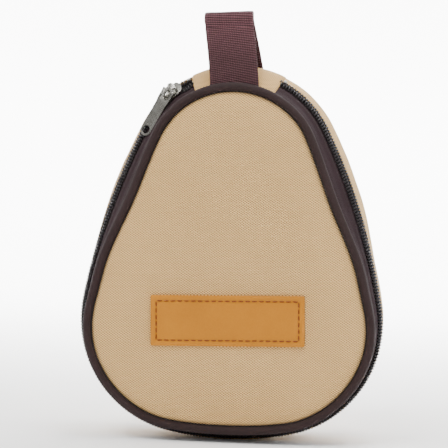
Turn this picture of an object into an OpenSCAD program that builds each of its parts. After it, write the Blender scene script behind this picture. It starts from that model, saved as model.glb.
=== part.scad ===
// Padded canvas pouch with a pear-shaped outline, a zip round its rim and a webbing hanging loop.
// Frame: X across, Y from front to back, Z up. The pouch stands on its bottom at z = 0.
// The zip opens the whole front as a flap that hangs from the bridge at the top.

/* [Outline of the zip line] */
// Radius of the shallow arc under the bottom
bottom_r = 157; // [150:1:165]
// Sweep of the bottom arc, from the centre line
bottom_a = 12.5; // [12:0.1:13]
// Radius of the round lower corner
belly_r = 61.2; // [60:0.1:62]
// Sweep of the lower corner
belly_a = 88; // [87:0.5:89]
// Radius of the nearly straight flank
flank_r = 360; // [340:1:380]
// Sweep of the flank
flank_a = 16; // [15:0.5:17]

/* [Pouch body] */
// Distance from the middle of the pouch to the centre of each piping
half_depth = 28; // [26:0.5:32]
// Distance from the middle of the pouch to the zip chain
chain_depth = 15; // [14.5:0.1:15.5]
// How far the front and back faces swell out
dome = 3.5; // [1:0.1:5]
// Thickness of the canvas
canvas_t = 0.8; // [0.6:0.05:0.9]
// Thickness of the foam padding
foam_t = 3; // [2:0.1:3]
// Thickness of the lining cloth
lining_t = 0.4; // [0.3:0.05:0.5]
// Outer radius of the piping
piping_r = 2.3; // [1.8:0.1:2.4]
// Radius of the cord inside the piping
cord_r = 1.35; // [1.2:0.05:1.4]
// Half the width of the closed bridge at the top, measured along the arc in degrees
bridge_a = 25; // [24:0.5:27]

/* [Zip] */
// Width of one row of coil
row_w = 2; // [1.8:0.1:2.1]
// Gap between the two rows of coil
row_gap = 1.2; // [1.1:0.05:1.4]
// Half the thickness of a row of coil
row_h = 0.9; // [0.7:0.05:0.95]
// Thickness of the zip tape
tape_t = 0.6; // [0.4:0.05:0.7]
// Place of the slider on the left shoulder, in degrees from the top
slider_a = 40; // [39:0.5:42]
// Length of the slider body
slider_l = 14; // [12:0.5:14]
// Width of the slider at its nose
slider_w = 9.2; // [8.6:0.1:9.4]
// Length of the pull tab from its bar to its round end
pull_l = 28; // [22:0.5:29]
// Width of the pull tab at its round end
pull_w = 7; // [5.6:0.1:7.2]
// Thickness of the pull tab
pull_t = 1; // [0.8:0.05:1.1]

/* [Webbing loop] */
// Width of the webbing
webbing_w = 26.5; // [20:0.5:30]
// Thickness of the webbing
webbing_t = 1.8; // [1.4:0.1:2]
// Height of the top of the loop
loop_top = 235; // [225:1:245]

/* [Label] */
// Width of the leather label
label_w = 83.5; // [70:0.5:85]
// Height of the leather label
label_h = 27.5; // [22:0.5:28]
// Thickness of the leather
label_t = 1.5; // [1:0.1:2]
// Height of the centre of the label
label_z = 67; // [60:1:70]
// Distance of the stitch line from the edge of the label
stitch_inset = 3.1; // [2.5:0.1:4]
// Spacing of the stitches
stitch_pitch = 3.6; // [3:0.1:4.5]

/* [Hidden] */
$fn = 48;

canvas_color = [0.79, 0.70, 0.54];
foam_color = [0.93, 0.92, 0.88];
lining_color = [0.42, 0.40, 0.38];
trim_color = [0.20, 0.16, 0.17];
webbing_color = [0.36, 0.23, 0.25];
leather_color = [0.77, 0.55, 0.27];
thread_color = [0.50, 0.24, 0.08];
metal_color = [0.62, 0.61, 0.58];

// Clearance between two layers of one wall
layer_gap = 0.2;
// Height of the zip line above the surface that the pouch stands on
chain_z = 1.5;

// The outline of the zip line is a chain of tangent arcs. A state is [x, z, heading].
function along(s, r, a) = [s[0] - r * sin(s[2]) + r * sin(s[2] + a),
    s[1] + r * cos(s[2]) - r * cos(s[2] + a), s[2] + a];
start = [0, chain_z, 0];
corner = along(start, bottom_r, bottom_a);
flank = along(corner, belly_r, belly_a);
shoulder = along(flank, flank_r, flank_a);
// The last arc closes the outline on the centre line, which fixes its radius
cap_a = 180 - shoulder[2];
cap_r = shoulder[0] / sin(cap_a);
cap_z = shoulder[1] - cap_r * cos(cap_a);

function arc_len(r, a) = r * a * PI / 180;
corner_s = arc_len(bottom_r, bottom_a);
flank_s = corner_s + arc_len(belly_r, belly_a);
shoulder_s = flank_s + arc_len(flank_r, flank_a);
half_s = shoulder_s + arc_len(cap_r, cap_a);

function turned(s, r, d) = along(s, r, d / r * 180 / PI);
// State at the distance d along the zip line from the bottom centre
function at(d) = d < corner_s ? turned(start, bottom_r, d)
    : d < flank_s ? turned(corner, belly_r, d - corner_s)
    : d < shoulder_s ? turned(flank, flank_r, d - flank_s)
    : turned(shoulder, cap_r, d - shoulder_s);

// Smooth curve through evenly spaced values, for t from 0 to 1
function blend(values, t) = let (n = len(values) - 1, i = min(n - 1, floor(t * n)), f = t * n - i)
    values[i] + (values[i + 1] - values[i]) * f * f * (3 - 2 * f);
// How far each piping lies inside the zip line, from the bottom centre to the top centre
function seam(q) = blend([5.4, 3.9, 3.9, 5.7, 9.6, 8, 8], abs(q) / half_s);
// How far the gusset swells outside the zip line
function bulge(q) = blend([3, 0.8, 0.8, 2, 4.5, 4.5, 4], abs(q) / half_s);
// Slope of the zip tape, which runs from the piping out to the chain
function tilt(q) = atan(seam(q) / (half_depth - chain_depth));

// A point at signed distance q round the outline. s is [outward offset, y, lowest z]
function point(q, s) = let (p = at(abs(q)))
    [sign(q) * (p[0] + s[0] * sin(p[2])), s[1], max(p[1] - s[0] * cos(p[2]), s[2])];

// A point of a section in the slope of the zip tape: across the chain, and up from it
function on_tape(q, across, up) = let (a = tilt(q))
    [across * sin(a) + up * cos(a), across * cos(a) - up * sin(a) - chain_depth, 0];

// Stations round the outline
ring_n = 56;
ring_q = [for (i = [0:ring_n - 1]) half_s * (2 * (i + 0.5) / ring_n - 1)];
function stations(from, to, n) = [for (i = [0:n]) from + (to - from) * i / n];
bridge_s = half_s - arc_len(cap_r, bridge_a);

// Sweeps a section round the outline. The section is a band: its outer points in order, then its
// inner points in the opposite order, so that an open end closes with a strip of quads.
module sweep(qs, section, closed = false) {
    rings = [for (q = qs) [for (s = section(q)) point(q, s)]];
    n = len(rings);
    m = len(rings[0]);
    spans = closed ? n : n - 1;
    sides = [for (i = [0:spans - 1], j = [0:m - 1]) let (a = i * m + j, b = i * m + (j + 1) % m,
        c = (i + 1) % n * m + (j + 1) % m, d = (i + 1) % n * m + j) each [[a, b, c], [a, c, d]]];
    ends = closed ? [] : [for (j = [0:m / 2 - 2]) let (k = m - 1 - j, e = (n - 1) * m)
        each [[j, k, j + 1], [j + 1, k, k - 1], [e + j, e + j + 1, e + k], [e + j + 1, e + k - 1, e + k]]];
    polyhedron(points = [for (r = rings) each r], faces = concat(sides, ends));
}

// Mirrors a piece of the front to the back
module at_back() mirror([0, 1, 0]) children();

// The faces swell from their seam to a flat middle. Each entry is [scale, part of the dome].
face_table = [[0.72, 1], [0.85, 0.86], [0.94, 0.5], [1, 0]];
face_z = 88;
edge_inset = piping_r + 0.2;

// One layer of the front face, between two depths, from a scaled copy of the face's edge inwards
module face_layer(edge_scale, y_out, y_in) {
    edge = [for (q = ring_q) point(q, [-seam(q) - edge_inset, 0, 0])];
    scales = concat([edge_scale], [for (i = [2:-1:0]) face_table[i][0]]);
    function ring(k, y) = [for (p = edge)
        [p[0] * k, y - dome * lookup(k, face_table), face_z + (p[2] - face_z) * k]];
    n = ring_n;
    last = len(scales) - 1;
    outer = [for (k = scales) each ring(k, y_out)];
    inner = [for (k = scales) each ring(k, y_in)];
    back = len(outer);
    faces = [for (i = [0:last - 1], j = [0:n - 1]) let (a = i * n + j, b = i * n + (j + 1) % n)
        each [[a, b + n, b], [a, a + n, b + n],
            [back + a, back + b, back + b + n], [back + a, back + b + n, back + a + n]]];
    rim = [for (j = [0:n - 1]) let (a = j, b = (j + 1) % n) each [[a, b, back + b], [a, back + b, back + a]]];
    caps = [[for (j = [n - 1:-1:0]) last * n + j], [for (j = [0:n - 1]) back + last * n + j]];
    polyhedron(points = concat(outer, inner), faces = concat(faces, rim, caps));
}

face_y = -half_depth - canvas_t;
foam_y = -half_depth + layer_gap;
lining_y = foam_y + foam_t + layer_gap;
module canvas_face() face_layer(1, face_y, face_y + canvas_t);
module foam_face() face_layer(0.965, foam_y, foam_y + foam_t);
module lining_face() face_layer(0.985, lining_y, lining_y + lining_t);

// The piping cover is a strip of bias cloth round a cord, open along the seam behind it
cover_step = 50;
function cover_point(q, r, i) = let (a = 420 - cover_step * i) [r * cos(a) - seam(q), r * sin(a) - half_depth, 0];
cover_r = (cord_r + layer_gap / 2) / cos(cover_step / 2);
module piping_cover() sweep(ring_q, function(q) concat([for (i = [0:6]) cover_point(q, piping_r, i)],
    [for (i = [6:-1:0]) cover_point(q, cover_r, i)]), true);
module piping_cord() sweep(ring_q, function(q)
    [for (i = [0:7]) [cord_r * cos(-45 * i) - seam(q), cord_r * sin(-45 * i) - half_depth, 0]], true);

// The raw edges of the seam are bound with a tape that lies flat inside, on the lining
binding_y = lining_y + lining_t + 0.2;
binding_t = 1.4;
binding_w = 6.4;
module seam_binding() sweep(ring_q, function(q) let (o = -seam(q) - 0.6) [[o, binding_y, 0],
    [o - binding_w, binding_y, 0], [o - binding_w, binding_y + binding_t, 0], [o, binding_y + binding_t, 0]], true);

module front_panel() color(canvas_color) canvas_face();
module front_padding() color(foam_color) foam_face();
module front_lining() color(lining_color) lining_face();
module front_piping_cover() color(trim_color) piping_cover();
module front_piping_cord() color(foam_color) piping_cord();
module front_seam_binding() color(trim_color) seam_binding();

module back_panel() color(canvas_color) at_back() canvas_face();
module back_padding() color(foam_color) at_back() foam_face();
module back_lining() color(lining_color) at_back() lining_face();
module back_piping_cover() color(trim_color) at_back() piping_cover();
module back_piping_cord() color(foam_color) at_back() piping_cord();
module back_seam_binding() color(trim_color) at_back() seam_binding();

// The front half of the zip starts below the pull tab, so that the flap opens past the slider
pull_reach = 15;
chain_n = 96;
flap_q = stations(pull_reach - shoulder_s, bridge_s - 1, chain_n);
rear_q = stations(-bridge_s + 1, bridge_s - 1, chain_n);
row_in = row_gap / 2;
row_out = row_in + row_w;
tape_top = -0.35;

// A row of coil on the side given by 1 for the back or -1 for the front
module coil_row(qs, side) sweep(qs, function(q) [
    on_tape(q, side * row_in, -side * row_h * 0.8), on_tape(q, side * (row_in + row_w / 2), -side * row_h),
    on_tape(q, side * row_out, -side * row_h * 0.6), on_tape(q, side * row_out, side * row_h * 0.6),
    on_tape(q, side * (row_in + row_w / 2), side * row_h), on_tape(q, side * row_in, side * row_h * 0.8)]);

module front_zip_coil() color(trim_color) coil_row(flap_q, -1);
module rear_zip_coil() color(trim_color) coil_row(rear_q, 1);

seam_edge_y = -half_depth + piping_r + 0.3;
module front_zip_tape() color(trim_color) sweep(flap_q, function(q) [
    on_tape(q, -row_out - 0.15, tape_top), [-seam(q) + 0.1 + tape_t, seam_edge_y, 0],
    [-seam(q) + 0.1, seam_edge_y, 0], on_tape(q, -row_out - 0.15, tape_top - tape_t)]);

// Outward offset of the gusset at each depth
function gusset_table(q) = let (b = bulge(q), e = seam(q)) [[-25.3, -0.9 * e], [-20, -0.38 * e],
    [-14, 0.35 * b - 0.08 * e], [-10.6, 0.45 * b], [-6, 0.78 * b], [0, b], [8, 0.9 * b],
    [14, 0.35 * b - 0.08 * e], [20, -0.38 * e], [25.3, -0.9 * e]];
function wall(q, y, depth) = [lookup(y, gusset_table(q)) - depth, y, depth];
// A layer of the gusset from one depth below its face to another, over the given depths in y
function wall_band(q, ys, d0, d1) = concat([for (y = ys) wall(q, y, d0)],
    [for (i = [len(ys) - 1:-1:0]) wall(q, ys[i], d1)]);

gusset_n = 50;
gusset_q = stations(-bridge_s + 0.2, bridge_s - 0.2, gusset_n);
// The layers of the gusset bend more, so they need more room between them
gusset_gap = 0.35;
foam_d = canvas_t + gusset_gap;
lining_d = foam_d + foam_t + gusset_gap;
module gusset_canvas() color(canvas_color)
    sweep(gusset_q, function(q) wall_band(q, [25.3, 20, 14, 8, 0, -6, -10.6], 0, canvas_t));
module gusset_padding() color(foam_color)
    sweep(gusset_q, function(q) wall_band(q, [21.5, 20, 14, 8, 0, -3], foam_d, foam_d + foam_t));
module gusset_lining() color(lining_color)
    sweep(gusset_q, function(q) wall_band(q, [21.5, 20, 14, 8, 0, -3], lining_d, lining_d + lining_t));

// The rear tape runs from its coil to under the canvas of the gusset
module rear_zip_tape() color(trim_color) sweep(rear_q, function(q) let (d = canvas_t + gusset_gap) [
    wall(q, -4.5, d), wall(q, -10.8, d), on_tape(q, row_out + 0.15, tape_top),
    on_tape(q, row_out + 0.15, tape_top - tape_t), wall(q, -10.8, d + tape_t), wall(q, -4.5, d + tape_t)]);

// The bridge closes the top between the ends of the zip. It is a turned band about the shoulder's centre.
bridge_ys = [-25.3, -20, -14, -8, 0, 8, 14, 20, 25.3];
function bridge_off(y) = let (b = bulge(half_s), e = seam(half_s)) lookup(y, [[-25.3, -0.9 * e],
    [-20, -0.38 * e], [-14, 0.35 * b - 0.08 * e], [-8, 0.9 * b], [0, b], [8, 0.9 * b],
    [14, 0.35 * b - 0.08 * e], [20, -0.38 * e], [25.3, -0.9 * e]]);
module about_cap(angle) translate([0, 0, cap_z]) rotate([90, 0, 0]) rotate([0, 0, 90 - angle])
    rotate_extrude(angle = 2 * angle, $fn = 180) children();
module bridge_band(reach, d0, d1) about_cap(bridge_a) let (ys = [for (y = bridge_ys) if (abs(y) < reach) y])
    polygon(concat([for (y = ys) [cap_r + bridge_off(y) - d0, -y]],
        [for (i = [len(ys) - 1:-1:0]) [cap_r + bridge_off(ys[i]) - d1, -ys[i]]]));
module bridge_canvas() color(canvas_color) bridge_band(26, 0, canvas_t);
module bridge_padding() color(foam_color) bridge_band(21, foam_d, foam_d + foam_t);
module bridge_lining() color(lining_color) bridge_band(21, lining_d, lining_d + lining_t);

// The webbing loop is one strap folded over, sewn at the front seam and on the crest of the bridge
loop_front = [-24, 186];
loop_rear = [1, 200];
loop_turn_r = 4;
loop_turn = [-12.5, loop_top - webbing_t / 2 - loop_turn_r];
function tangent_a(p, side) = let (d = p - loop_turn)
    atan2(d[1], d[0]) + side * acos(loop_turn_r / norm(d));
front_a = tangent_a(loop_front, -1) + 360;
rear_a = tangent_a(loop_rear, 1);
function loop_line(offset) = concat(
    [loop_front + offset * [cos(front_a), sin(front_a)]],
    [for (i = [0:10]) let (a = front_a + (rear_a - front_a) * i / 10)
        loop_turn + (loop_turn_r + offset) * [cos(a), sin(a)]],
    [loop_rear + offset * [cos(rear_a), sin(rear_a)]]);
// Draws a shape in the side view, as [y, z], through the given width
module across(width) rotate([90, 0, 90]) linear_extrude(width, center = true) children();
module above_bridge(y, clear) translate([0, 0, cap_z]) rotate([90, 0, 0])
    cylinder(r = cap_r + bridge_off(y) + clear, h = 120, center = true, $fn = 180);
module webbing_loop() color(webbing_color) difference() {
    across(webbing_w) polygon(concat(loop_line(webbing_t / 2),
        [for (i = [12:-1:0]) loop_line(-webbing_t / 2)[i]]));
    translate([0, 12, 0]) intersection() {
        above_bridge(0, 0.1);
        translate([-40, -20, 150]) cube([80, 40, 80]);
    }
    translate([0, -26, 0]) intersection() {
        above_bridge(-20.6, 0.1);
        translate([-40, -20, 150]) cube([80, 34, 80]);
    }
}
// Two bars of close stitches hold the rear leg. The front leg is held by the piping seam.
bartack_h = 1.6;
bartack_t = 0.5;
bartack_z = [207, 211];
module bartack(z) {
    dir = [-sin(rear_a), cos(rear_a)];
    out = [cos(rear_a), sin(rear_a)];
    base = loop_rear + dir * (z - loop_rear[1]) / dir[1] + out * (webbing_t / 2 + 0.05);
    across(webbing_w - 3) polygon([base, base + out * bartack_t, base + out * bartack_t + dir * bartack_h,
        base + dir * bartack_h]);
}
module loop_bartacks() color(webbing_color) for (z = bartack_z) bartack(z);

// Places a shape on the chain at an angle from the top: X towards the bridge, Y to the back, Z outwards
cap_tilt = tilt(half_s);
module on_chain(angle, lean = 0) translate([0, -chain_depth, cap_z]) rotate([0, angle, 0])
    translate([0, 0, cap_r]) rotate([cap_tilt + lean, 0, 0]) children();
// The soft tape lets the slider lean to the front
slider_lean = 20;
// A folded metal stop on the rear row at each end of the zip
module zip_end_stops() color(metal_color) for (a = [-bridge_a - 2.8, bridge_a + 2.8]) on_chain(a)
    translate([0, row_in + row_w / 2 + 0.1, row_h + 0.15]) linear_extrude(0.7) square([1.8, row_w], center = true);

// Slider: a crown outside the chain and a plate inside it, joined by a web between the two rows
crown_z = 1.2;
crown_t = 1.2;
plate_z = -2.3;
plate_t = 0.9;
function slider_outline(width, tail, nose_r) = let (h = slider_l / 2, w = width / 2) concat(
    [for (a = [-60:20:60]) [h - nose_r + nose_r * cos(a), (w - 1) * sin(a) / sin(60)]],
    [[0, w], [-h + 2, tail / 2], [-h, tail / 2 - 1.4], [-h, -tail / 2 + 1.4], [-h + 2, -tail / 2], [0, -w]]);
module slider_shape() {
    difference() {
        translate([0, 0, crown_z]) linear_extrude(crown_t) polygon(slider_outline(slider_w, 6.4, 3));
        // The crown thins towards the tail, where the pull tab lies down
        translate([-slider_l / 2, 0, crown_z + crown_t - 0.55]) rotate([0, -10, 0])
            translate([-10, -10, 0]) cube([13, 20, 4]);
    }
    translate([0, 0, plate_z - plate_t]) linear_extrude(plate_t) polygon(slider_outline(4.6, 4, 3));
    translate([4.2, 0, plate_z]) linear_extrude(crown_z - plate_z)
        polygon([[1.2, 0], [0, 0.16], [-1.2, 0], [0, -0.16]]);
    for (side = [-1, 1]) translate([-2.2, side * (slider_w / 2 - 0.75), crown_z - 1])
        linear_extrude(1) square([6.4, 0.7], center = true);
}
module slider_body() color(metal_color) on_chain(-slider_a, slider_lean) slider_shape();

// The bail is a flat arch over the crown, and the bar of the pull tab turns under it
bail_w = 2.6;
hood_w = 4.8;
bail_t = 0.9;
bail_half = 3.3;
bail_top = 6.5;
bail_foot = crown_z + crown_t;
bar_z = 4.4;
bar_r = 0.7;
module bail_arch(half, top, r) translate([0, bail_foot]) intersection() {
    union() {
        translate([-half, 0]) square([2 * half, top - bail_foot - r]);
        translate([-half + r, 0]) square([2 * (half - r), top - bail_foot]);
        for (side = [-1, 1]) translate([side * (half - r), top - bail_foot - r]) circle(r);
    }
    translate([-half, 0]) square([2 * half, top]);
}
module slider_bail() color(metal_color) on_chain(-slider_a, slider_lean) intersection() {
    rotate([90, 0, 0]) linear_extrude(hood_w, center = true) difference() {
        bail_arch(bail_half + bail_t, bail_top, 2.4);
        translate([0, -0.1]) bail_arch(bail_half, bail_top - bail_t + 0.1, 1.5);
    }
    // Seen from above, the bail widens into a hood towards the nose of the slider
    linear_extrude(bail_top + 1) polygon([[-5, -bail_w / 2], [0.8, -bail_w / 2], [2, -hood_w / 2], [5, -hood_w / 2],
        [5, hood_w / 2], [2, hood_w / 2], [0.8, bail_w / 2], [-5, bail_w / 2]]);
}

// The pull tab has a bar and a window at its head, and a round end with a hole
pull_yaw = 18;
pull_dip = 12;
pull_roll = 10;
window_half = 2.75;
head_half = 3.9;
window_l = 5.4;
module pull_outline() difference() {
    union() {
        polygon([[0, -head_half], [-window_l, -head_half], [-window_l - 3.5, -pull_w / 2],
            [-pull_l + pull_w / 2, -pull_w / 2], [-pull_l + pull_w / 2, pull_w / 2],
            [-window_l - 3.5, pull_w / 2], [-window_l, head_half], [0, head_half]]);
        translate([-pull_l + pull_w / 2, 0]) circle(pull_w / 2);
    }
    translate([-window_l, -window_half]) square([window_l + 1, 2 * window_half]);
    translate([-pull_l + pull_w / 2, 0]) circle(pull_w / 2 - 1.15);
}
module pull_tab() color(metal_color) on_chain(-slider_a, slider_lean) translate([0, 0, bar_z])
    rotate([0, 0, pull_yaw]) rotate([0, -pull_dip, 0]) rotate([pull_roll, 0, 0]) {
        translate([0, 0, -pull_t / 2]) linear_extrude(pull_t) pull_outline();
        rotate([90, 0, 0]) cylinder(r = bar_r, h = 2 * head_half, center = true);
    }

// The label lies on the flat middle of the front panel
label_y = face_y - dome - layer_gap;
corner_r = 1.5;
module rounded(w, h, r) union() {
    square([w - 2 * r, h], center = true);
    square([w, h - 2 * r], center = true);
    for (x = [-1, 1], y = [-1, 1]) translate([x * (w / 2 - r), y * (h / 2 - r)]) circle(r);
}
module leather_label() color(leather_color) translate([0, label_y, label_z]) rotate([90, 0, 0])
    linear_extrude(label_t) rounded(label_w, label_h, corner_r);

stitch_l = 2.5;
stitch_r = 0.35;
module stitch_run(length, horizontal) {
    n = round(length / stitch_pitch);
    for (i = [0:n - 1]) let (d = length * ((i + 0.5) / n - 0.5))
        translate(horizontal ? [d, 0, 0] : [0, 0, d]) rotate(horizontal ? [0, 90, 0] : [0, 0, 0])
            cylinder(r = stitch_r, h = stitch_l, center = true, $fn = 16);
}
module label_stitching() color(thread_color) translate([0, label_y - label_t - stitch_r - 0.05, label_z]) {
    for (side = [-1, 1]) {
        translate([0, 0, side * (label_h / 2 - stitch_inset)]) stitch_run(label_w - 2 * stitch_inset - 2, true);
        translate([side * (label_w / 2 - stitch_inset), 0, 0]) stitch_run(label_h - 2 * stitch_inset - 2, false);
    }
}

front_panel();
front_padding();
front_lining();
front_piping_cover();
front_piping_cord();
front_seam_binding();
front_zip_tape();
front_zip_coil();
leather_label();
label_stitching();
back_panel();
back_padding();
back_lining();
back_piping_cover();
back_piping_cord();
back_seam_binding();
rear_zip_tape();
rear_zip_coil();
gusset_canvas();
gusset_padding();
gusset_lining();
bridge_canvas();
bridge_padding();
bridge_lining();
webbing_loop();
loop_bartacks();
zip_end_stops();
slider_body();
slider_bail();
pull_tab();
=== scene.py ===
import math
import random

import bmesh
import bpy
import numpy as np
from mathutils import Matrix, Vector, bvhtree, kdtree, noise


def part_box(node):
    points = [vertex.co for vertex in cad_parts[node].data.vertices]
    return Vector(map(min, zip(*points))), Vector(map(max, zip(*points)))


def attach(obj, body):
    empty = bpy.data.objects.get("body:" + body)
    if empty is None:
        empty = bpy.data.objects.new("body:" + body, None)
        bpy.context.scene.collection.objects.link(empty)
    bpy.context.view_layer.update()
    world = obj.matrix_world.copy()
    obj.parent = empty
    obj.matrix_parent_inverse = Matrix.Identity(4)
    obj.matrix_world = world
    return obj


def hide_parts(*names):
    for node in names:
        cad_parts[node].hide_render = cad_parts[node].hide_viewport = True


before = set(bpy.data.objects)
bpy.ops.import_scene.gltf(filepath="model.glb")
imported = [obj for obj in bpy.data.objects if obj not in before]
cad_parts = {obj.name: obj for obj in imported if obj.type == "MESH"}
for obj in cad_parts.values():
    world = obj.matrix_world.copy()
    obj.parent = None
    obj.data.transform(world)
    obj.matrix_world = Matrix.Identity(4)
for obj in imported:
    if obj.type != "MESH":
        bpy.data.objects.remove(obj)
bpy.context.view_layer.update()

# ---- Camera, floor and light -------------------------------------------------------------
# A product stand: the pouch on a pale sweep, seen almost square on, a little from its right and from
# above. A large soft key light stands high at the left, with weak ones above, at the right and
# behind, and two that whiten the backdrop.
MM = 0.001
view_turn = math.radians(5.7)
view_rise = math.radians(2.0)
view_roll = math.radians(1.5)
view_distance = 1.1
view_centre = Vector((0, 0, 0.0965))
frame_shift = (-0.0059, 0.0218)

back = Vector((math.sin(view_turn) * math.cos(view_rise), -math.cos(view_turn) * math.cos(view_rise),
               math.sin(view_rise)))
level_right = Vector((math.cos(view_turn), math.sin(view_turn), 0))
level_up = back.cross(level_right)
cam_right = level_right * math.cos(view_roll) + level_up * math.sin(view_roll)
cam_up = level_up * math.cos(view_roll) - level_right * math.sin(view_roll)
aim = view_centre + cam_right * frame_shift[0] + cam_up * frame_shift[1]
camera = bpy.data.objects.new("camera", bpy.data.cameras.new("camera"))
bpy.context.collection.objects.link(camera)
camera.matrix_world = Matrix.Translation(aim + back * view_distance) @ Matrix(
    (cam_right, cam_up, back)).transposed().to_4x4()
camera.data.lens = 159
camera.data.sensor_width = 36
camera.data.clip_end = 20
bpy.context.scene.camera = camera


def area_light(name, place, target, size, power, tint=(1, 1, 1), spread=180):
    light = bpy.data.objects.new(name, bpy.data.lights.new(name, "AREA"))
    light.data.energy = power
    light.data.size = size
    light.data.color = tint
    light.data.spread = math.radians(spread)
    light.location = place
    light.rotation_euler = (Vector(target) - Vector(place)).to_track_quat("-Z", "Y").to_euler()
    bpy.context.collection.objects.link(light)


area_light("key", (-0.5, -0.85, 1.45), (0, 0, 0.1), 0.7, 26, (1, 0.985, 0.96))
area_light("top", (0.25, -0.1, 1.3), (0, 0, 0.15), 0.6, 13)
area_light("fill", (1.1, -0.9, 0.5), (0, 0, 0.1), 0.9, 7, (0.96, 0.98, 1))
area_light("rear", (0.2, 0.75, 0.9), (0, 0, 0.12), 0.6, 5)
area_light("backdrop_left", (-1.3, 0.55, 1.3), (-0.3, 1.35, 0.35), 1.0, 60, spread=80)
area_light("backdrop_right", (1.3, 0.55, 1.3), (0.3, 1.35, 0.35), 1.0, 60, spread=80)
world = bpy.data.worlds.new("studio")
bpy.context.scene.world = world
world.use_nodes = True
sky = world.node_tree.nodes["Background"]
sky.inputs["Color"].default_value = (1, 1, 1, 1)
sky.inputs["Strength"].default_value = 0.5


def sweep_floor():
    """A floor that curves up into a backdrop behind the pouch."""
    near_edge, bend_y, bend_r, wall_top, half_width = -2.5, 0.9, 0.5, 2.6, 3
    curve = [(near_edge, 0), (bend_y, 0)]
    curve += [(bend_y + bend_r * math.sin(a), bend_r - bend_r * math.cos(a))
              for a in np.linspace(0.1, math.pi / 2, 14)]
    curve += [(bend_y + bend_r, wall_top)]
    verts = [(x, y, z) for x in (-half_width, half_width) for y, z in curve]
    n = len(curve)
    mesh = bpy.data.meshes.new("floor")
    mesh.from_pydata(verts, [], [(i, i + n, i + n + 1, i + 1) for i in range(n - 1)])
    mesh.shade_smooth()
    return mesh


floor = bpy.data.objects.new("floor", sweep_floor())
bpy.context.collection.objects.link(floor)
paper = bpy.data.materials.new("paper")
paper.use_nodes = True
paper_look = paper.node_tree.nodes["Principled BSDF"]
paper_look.inputs["Base Color"].default_value = (0.9, 0.9, 0.895, 1)
paper_look.inputs["Roughness"].default_value = 0.95
floor.data.materials.append(paper)

# ---- Front panel -------------------------------------------------------------------------
# The face of the flap: one pear-shaped piece of sand-coloured twill over a 3 mm foam sheet. It is
# sewn in all round under the piping, so its edge dips into the seam and puckers a little there.
# The zip line is a chain of tangent arcs, each (radius in mm, sweep in degrees), closed by a cap
rim_arcs = ((157, 12.5), (61.2, 88), (360, 16))
ground_gap = 1.5
half_depth = 28
chain_depth = 15
piping_r = 2.3
# Evenly spaced from the bottom centre to the top centre, in mm
seam_steps = (5.4, 3.9, 3.9, 5.7, 9.6, 8, 8)
swell_steps = (3, 0.8, 0.8, 2, 4.5, 4.5, 4)


def along(state, radius, sweep):
    """Point and heading (x, z, angle) at the end of an arc that starts at a given one."""
    x, z, heading = state
    turn = heading + sweep
    return (x - radius * math.sin(heading) + radius * math.sin(turn),
            z + radius * math.cos(heading) - radius * math.cos(turn), turn)


rim_starts = [(0, ground_gap, 0)]
rim_ends = [0]
for radius, sweep in rim_arcs:
    rim_starts.append(along(rim_starts[-1], radius, math.radians(sweep)))
    rim_ends.append(rim_ends[-1] + radius * math.radians(sweep))
cap_angle = math.pi - rim_starts[3][2]
cap_r = rim_starts[3][0] / math.sin(cap_angle)
half_rim = rim_ends[3] + cap_r * cap_angle
rim_radii = [radius for radius, sweep in rim_arcs] + [cap_r]


def rim(d):
    """Point of the zip line and its outward normal, at distance d in mm from the bottom centre."""
    s = abs(d)
    i = 3 if s >= rim_ends[3] else 2 if s >= rim_ends[2] else 1 if s >= rim_ends[1] else 0
    x, z, heading = along(rim_starts[i], rim_radii[i], (s - rim_ends[i]) / rim_radii[i])
    side = -1 if d < 0 else 1
    return side * x, z, side * math.sin(heading), -math.cos(heading)


def stepped(values, d):
    """Smooth curve through evenly spaced values, from the bottom centre to the top centre."""
    s = min(abs(d), 2 * half_rim - abs(d)) / half_rim * (len(values) - 1)
    i = min(int(s), len(values) - 2)
    f = s - i
    return values[i] + (values[i + 1] - values[i]) * f * f * (3 - 2 * f)


def seam_inset(d):
    """How far the panel seams lie inside the zip line."""
    return stepped(seam_steps, d)


def swell(d):
    """How far the side wall swells out past the zip line."""
    return stepped(swell_steps, d)


def spot(d, off, y, floor_z=0.0):
    """Point in metres at distance d round the rim, off mm outwards and y mm to the back."""
    x, z, nx, nz = rim(d)
    return ((x + nx * off) * MM, y * MM, max(z + nz * off, floor_z) * MM)


def loft(name, rings, closed, flat_uv=False, sharp=50):
    """A closed solid through rings of points. Its UV map is in metres, along and across."""
    p = np.array(rings, float)
    n, m = p.shape[:2]
    spans = n if closed else n - 1
    i = np.repeat(np.arange(spans), m)
    j = np.tile(np.arange(m), spans)
    i1, j1 = (i + 1) % n, (j + 1) % m
    quads = np.stack([i * m + j, i * m + j1, i1 * m + j1, i1 * m + j], 1)
    faces = quads.tolist()
    if not closed:
        faces += [list(range(m))[::-1], [(n - 1) * m + k for k in range(m)]]
    mesh = bpy.data.meshes.new(name)
    mesh.from_pydata(p.reshape(-1, 3).tolist(), [], faces)
    middle = p.mean(1)
    step = np.linalg.norm(np.roll(middle, -1, 0) - middle, axis=1)
    u = np.concatenate([[0], np.cumsum(step)])
    v = np.concatenate([[0], np.cumsum(np.linalg.norm(np.roll(p, -1, 1) - p, axis=2).mean(0))])
    uv = mesh.uv_layers.new(name="cloth")
    corners = np.stack([np.stack([u[i], v[j]], 1), np.stack([u[i], v[j + 1]], 1),
                        np.stack([u[i + 1], v[j + 1]], 1), np.stack([u[i + 1], v[j]], 1)], 1).reshape(-1, 2)
    data = np.zeros((len(mesh.loops), 2))
    data[:len(corners)] = corners
    if flat_uv:
        index = np.zeros(len(mesh.loops), int)
        mesh.loops.foreach_get("vertex_index", index)
        data = p.reshape(-1, 3)[index][:, [0, 2]]
    uv.data.foreach_set("uv", data.ravel())
    return finished(name, mesh, sharp)


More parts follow.
